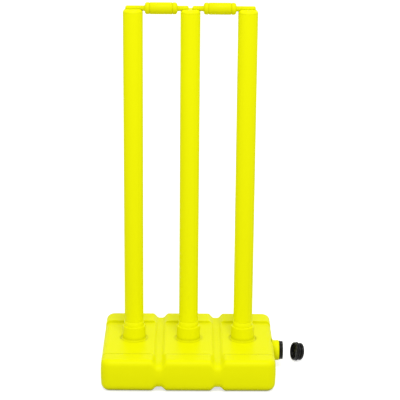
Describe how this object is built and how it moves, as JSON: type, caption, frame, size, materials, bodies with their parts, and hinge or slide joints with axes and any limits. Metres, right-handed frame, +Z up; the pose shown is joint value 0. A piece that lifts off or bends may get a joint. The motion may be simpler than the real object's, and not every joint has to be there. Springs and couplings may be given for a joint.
{
  "type": "cricket stumps",
  "caption": "Plastic cricket wicket: tube stumps with domed grooved caps and turned bails on a lobed, fillable tank base with a side filler neck and push-in stoppers.",
  "frame": {"origin": "on the ground under the middle stump, on the flat underside of the tank's middle lobe", "axes": "+X along the row of stumps towards the filler neck, +Y away from the batter's side, +Z up along the stumps"},
  "size_m": [0.398, 0.2624, 0.7232],
  "materials": {
    "lemon_tank": "blow-moulded polyethylene, soft satin",
    "lemon_tube": "extruded tube, satin with a soft sheen",
    "lemon_cap": "moulded, satin",
    "black_stopper": "moulded soft plastic, satin"
  },
  "bodies": {
    "base": {"base_tank": "lemon_tank", "stump_tube_middle": "lemon_tube", "stump_cap_middle": "lemon_cap", "stump_tail_middle": "lemon_cap"},
    "stump_left": {"stump_tube_left": "lemon_tube", "stump_cap_left": "lemon_cap", "stump_tail_left": "lemon_cap"},
    "stump_right": {"stump_tube_right": "lemon_tube", "stump_cap_right": "lemon_cap", "stump_tail_right": "lemon_cap"},
    "bail_left": {"bail_left": "lemon_cap"},
    "bail_right": {"bail_right": "lemon_cap"},
    "stopper": {"stopper_fitted": "black_stopper"},
    "spare_stopper": {"stopper_spare": "black_stopper"}
  },
  "joints": [
    {"name": "stump_left_pull", "type": "slide", "parent": "base", "child": "stump_left", "axis": [0, 0, 1], "range_m": [0, 0.05]},
    {"name": "stump_right_pull", "type": "slide", "parent": "base", "child": "stump_right", "axis": [0, 0, 1], "range_m": [0, 0.05]},
    {"name": "bail_left_lift", "type": "slide", "parent": "stump_left", "child": "bail_left", "axis": [0, 0, 1], "range_m": [0, 0.03]},
    {"name": "bail_right_lift", "type": "slide", "parent": "stump_right", "child": "bail_right", "axis": [0, 0, 1], "range_m": [0, 0.03]},
    {"name": "stopper_pull", "type": "slide", "parent": "base", "child": "stopper", "axis": [1, 0, 0], "range_m": [0, 0.02]},
    {"name": "spare_stopper_lift", "type": "slide", "parent": "base", "child": "spare_stopper", "axis": [0, 0, 1], "range_m": [0, 0.04]}
  ]
}
